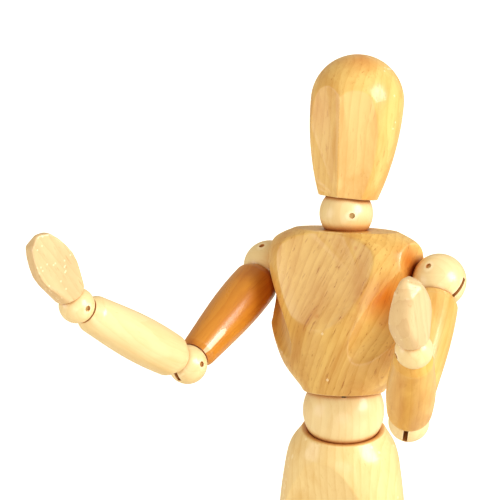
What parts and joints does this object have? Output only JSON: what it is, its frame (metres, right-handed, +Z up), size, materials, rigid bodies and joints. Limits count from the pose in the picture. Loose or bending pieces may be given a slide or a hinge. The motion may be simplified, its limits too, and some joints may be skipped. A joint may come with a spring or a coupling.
{
  "type": "artist mannequin",
  "caption": "Jointed wooden drawing figure with ball joints, held up by a steel rod on a round base.",
  "frame": {"origin": "centre of the round base's underside", "axes": "+Z up, -Y the way the pelvis faces, +X to the figure's left"},
  "size_m": [0.1026, 0.1109, 0.2971],
  "materials": {
    "base_wood": "clear gloss varnish",
    "honey_wood": "clear gloss varnish over honey-toned wood",
    "pale_wood": "clear gloss varnish over pale wood",
    "ball_wood": "clear gloss varnish over pale wood",
    "rod_steel": "bright drawn rod",
    "pin_steel": "brass-washed steel wire",
    "spring_steel": "spring wire"
  },
  "bodies": {
    "base": {"base_disc": "base_wood", "support_rod": "rod_steel"},
    "pelvis": {"pelvis": "pale_wood", "pelvis_springs": "spring_steel"},
    "waist_ball": {"waist_ball": "ball_wood", "waist_pin_hook": "pin_steel"},
    "chest": {"chest": "honey_wood", "spine_spring": "spring_steel", "shoulder_spring": "spring_steel"},
    "neck_ball": {"neck_ball": "ball_wood", "neck_pin_hook": "pin_steel"},
    "head_screw_eye": {"head_screw_eye": "pin_steel"},
    "head": {"head": "honey_wood"},
    "shoulder_ball_left": {"shoulder_ball_left": "ball_wood", "shoulder_pin_hook_left": "pin_steel"},
    "upper_arm_left": {"upper_arm_left": "honey_wood", "upper_arm_spring_left": "spring_steel"},
    "elbow_ball_left": {"elbow_ball_left": "ball_wood", "elbow_pin_hook_left": "pin_steel"},
    "forearm_left": {"forearm_left": "pale_wood", "forearm_spring_left": "spring_steel"},
    "wrist_ball_left": {"wrist_ball_left": "ball_wood", "wrist_pin_hook_left": "pin_steel"},
    "hand_left": {"hand_left": "pale_wood", "hand_screw_eye_left": "pin_steel"},
    "shoulder_ball_right": {"shoulder_ball_right": "ball_wood", "shoulder_pin_hook_right": "pin_steel"},
    "upper_arm_right": {"upper_arm_right": "honey_wood", "upper_arm_spring_right": "spring_steel"},
    "elbow_ball_right": {"elbow_ball_right": "ball_wood", "elbow_pin_hook_right": "pin_steel"},
    "forearm_right": {"forearm_right": "pale_wood", "forearm_spring_right": "spring_steel"},
    "wrist_ball_right": {"wrist_ball_right": "ball_wood", "wrist_pin_hook_right": "pin_steel"},
    "hand_right": {"hand_right": "pale_wood", "hand_screw_eye_right": "pin_steel"},
    "hip_ball_left": {"hip_ball_left": "ball_wood", "hip_pin_hook_left": "pin_steel"},
    "thigh_left": {"thigh_left": "honey_wood", "thigh_spring_left": "spring_steel"},
    "knee_ball_left": {"knee_ball_left": "ball_wood", "knee_pin_hook_left": "pin_steel"},
    "shin_left": {"shin_left": "pale_wood", "shin_spring_left": "spring_steel"},
    "ankle_ball_left": {"ankle_ball_left": "ball_wood", "ankle_pin_hook_left": "pin_steel"},
    "foot_left": {"foot_left": "pale_wood"},
    "hip_ball_right": {"hip_ball_right": "ball_wood", "hip_pin_hook_right": "pin_steel"},
    "thigh_right": {"thigh_right": "honey_wood", "thigh_spring_right": "spring_steel"},
    "knee_ball_right": {"knee_ball_right": "ball_wood", "knee_pin_hook_right": "pin_steel"},
    "shin_right": {"shin_right": "pale_wood", "shin_spring_right": "spring_steel"},
    "ankle_ball_right": {"ankle_ball_right": "ball_wood", "ankle_pin_hook_right": "pin_steel"},
    "foot_right": {"foot_right": "pale_wood"}
  },
  "joints": [
    {"name": "figure_turn", "type": "hinge", "parent": "base", "child": "pelvis", "pos_m": [0, 0.0075, 0.14736], "axis": [0, 0, 1], "continuous": true},
    {"name": "waist_turn", "type": "hinge", "parent": "pelvis", "child": "waist_ball", "pos_m": [0, 0, 0.20736], "axis": [0, 0, 1], "range_deg": [-70, 70]},
    {"name": "waist_bow", "type": "hinge", "parent": "waist_ball", "child": "chest", "pos_m": [0, 0, 0.20736], "axis": [0.9063, 0.4226, 0], "range_deg": [-24, 50]},
    {"name": "neck_turn", "type": "hinge", "parent": "chest", "child": "neck_ball", "pos_m": [-0.00602, 0.01291, 0.25705], "axis": [-0.1165, 0.2498, 0.9613], "range_deg": [-90, 90]},
    {"name": "neck_nod", "type": "hinge", "parent": "neck_ball", "child": "head_screw_eye", "pos_m": [-0.00602, 0.01291, 0.25705], "axis": [0.5858, -0.7643, 0.2696], "range_deg": [-36, 36]},
    {"name": "head_turn", "type": "hinge", "parent": "head_screw_eye", "child": "head", "pos_m": [-0.00602, 0.01291, 0.25705], "axis": [-0.0461, 0.3007, 0.9526], "range_deg": [-90, 90]},
    {"name": "shoulder_turn_left", "type": "hinge", "parent": "chest", "child": "shoulder_ball_left", "pos_m": [0.02217, 0.00903, 0.24483], "axis": [0.9814, -0.1201, 0.1501], "range_deg": [-150, 80]},
    {"name": "shoulder_bend_left", "type": "hinge", "parent": "shoulder_ball_left", "child": "upper_arm_left", "pos_m": [0.02217, 0.00903, 0.24483], "axis": [0.1922, 0.6033, -0.774], "range_deg": [-80.5, 8]},
    {"name": "elbow_turn_left", "type": "hinge", "parent": "upper_arm_left", "child": "elbow_ball_left", "pos_m": [0.0288, -0.02406, 0.22068], "axis": [-0.1597, 0.7974, 0.5819], "range_deg": [-90, 90]},
    {"name": "elbow_bend_left", "type": "hinge", "parent": "elbow_ball_left", "child": "forearm_left", "pos_m": [0.0288, -0.02406, 0.22068], "axis": [-0.9523, -0.2797, 0.122], "range_deg": [-85.5, 5.5]},
    {"name": "wrist_turn_left", "type": "hinge", "parent": "forearm_left", "child": "wrist_ball_left", "pos_m": [0.04021, -0.04908, 0.25243], "axis": [0.2718, -0.5956, 0.7559], "range_deg": [-90, 90]},
    {"name": "wrist_bend_left", "type": "hinge", "parent": "wrist_ball_left", "child": "hand_left", "pos_m": [0.04021, -0.04908, 0.25243], "axis": [-0.7231, -0.6447, -0.248], "range_deg": [-20, 55]},
    {"name": "shoulder_turn_right", "type": "hinge", "parent": "chest", "child": "shoulder_ball_right", "pos_m": [-0.02945, 0.01534, 0.23694], "axis": [0.9814, -0.1201, 0.1501], "range_deg": [-130, 100]},
    {"name": "shoulder_bend_right", "type": "hinge", "parent": "shoulder_ball_right", "child": "upper_arm_right", "pos_m": [-0.02945, 0.01534, 0.23694], "axis": [-0.181, -0.3138, 0.9321], "range_deg": [-88, 0.5]},
    {"name": "elbow_turn_right", "type": "hinge", "parent": "upper_arm_right", "child": "elbow_ball_right", "pos_m": [-0.03356, -0.02355, 0.22305], "axis": [-0.099, -0.9371, -0.3347], "range_deg": [-90, 90]},
    {"name": "elbow_bend_right", "type": "hinge", "parent": "elbow_ball_right", "child": "forearm_right", "pos_m": [-0.03356, -0.02355, 0.22305], "axis": [-0.9352, 0.2025, -0.2905], "range_deg": [-59.5, 31.5]},
    {"name": "wrist_turn_right", "type": "hinge", "parent": "forearm_right", "child": "wrist_ball_right", "pos_m": [-0.04797, -0.05381, 0.24835], "axis": [0.3432, 0.7205, -0.6025], "range_deg": [-90, 90]},
    {"name": "wrist_bend_right", "type": "hinge", "parent": "wrist_ball_right", "child": "hand_right", "pos_m": [-0.04797, -0.05381, 0.24835], "axis": [-0.9309, 0.3465, -0.1158], "range_deg": [-26.5, 48.5]},
    {"name": "hip_turn_left", "type": "hinge", "parent": "pelvis", "child": "hip_ball_left", "pos_m": [0.0106, 0, 0.1632], "axis": [0, 0, -1], "range_deg": [-50, 30]},
    {"name": "hip_bend_left", "type": "hinge", "parent": "hip_ball_left", "child": "thigh_left", "pos_m": [0.0106, 0, 0.1632], "axis": [1, 0, 0], "range_deg": [-75, 20]},
    {"name": "knee_turn_left", "type": "hinge", "parent": "thigh_left", "child": "knee_ball_left", "pos_m": [0.0106, 0, 0.1032], "axis": [0, 0, -1], "range_deg": [-40, 40]},
    {"name": "knee_bend_left", "type": "hinge", "parent": "knee_ball_left", "child": "shin_left", "pos_m": [0.0106, 0, 0.1032], "axis": [1, 0, 0], "range_deg": [0, 85]},
    {"name": "ankle_bend_left", "type": "hinge", "parent": "shin_left", "child": "ankle_ball_left", "pos_m": [0.0106, 0, 0.0432], "axis": [1, 0, 0], "range_deg": [-25, 35]},
    {"name": "foot_turn_left", "type": "hinge", "parent": "ankle_ball_left", "child": "foot_left", "pos_m": [0.0106, 0, 0.0432], "axis": [0, 0, -1], "range_deg": [-45, 45]},
    {"name": "hip_turn_right", "type": "hinge", "parent": "pelvis", "child": "hip_ball_right", "pos_m": [-0.0106, 0, 0.1632], "axis": [0, 0, 1], "range_deg": [-50, 30]},
    {"name": "hip_bend_right", "type": "hinge", "parent": "hip_ball_right", "child": "thigh_right", "pos_m": [-0.0106, 0, 0.1632], "axis": [1, 0, 0], "range_deg": [-75, 20]},
    {"name": "knee_turn_right", "type": "hinge", "parent": "thigh_right", "child": "knee_ball_right", "pos_m": [-0.0106, 0, 0.1032], "axis": [0, 0, 1], "range_deg": [-40, 40]},
    {"name": "knee_bend_right", "type": "hinge", "parent": "knee_ball_right", "child": "shin_right", "pos_m": [-0.0106, 0, 0.1032], "axis": [1, 0, 0], "range_deg": [0, 85]},
    {"name": "ankle_bend_right", "type": "hinge", "parent": "shin_right", "child": "ankle_ball_right", "pos_m": [-0.0106, 0, 0.0432], "axis": [1, 0, 0], "range_deg": [-25, 35]},
    {"name": "foot_turn_right", "type": "hinge", "parent": "ankle_ball_right", "child": "foot_right", "pos_m": [-0.0106, 0, 0.0432], "axis": [0, 0, 1], "range_deg": [-45, 45]}
  ]
}
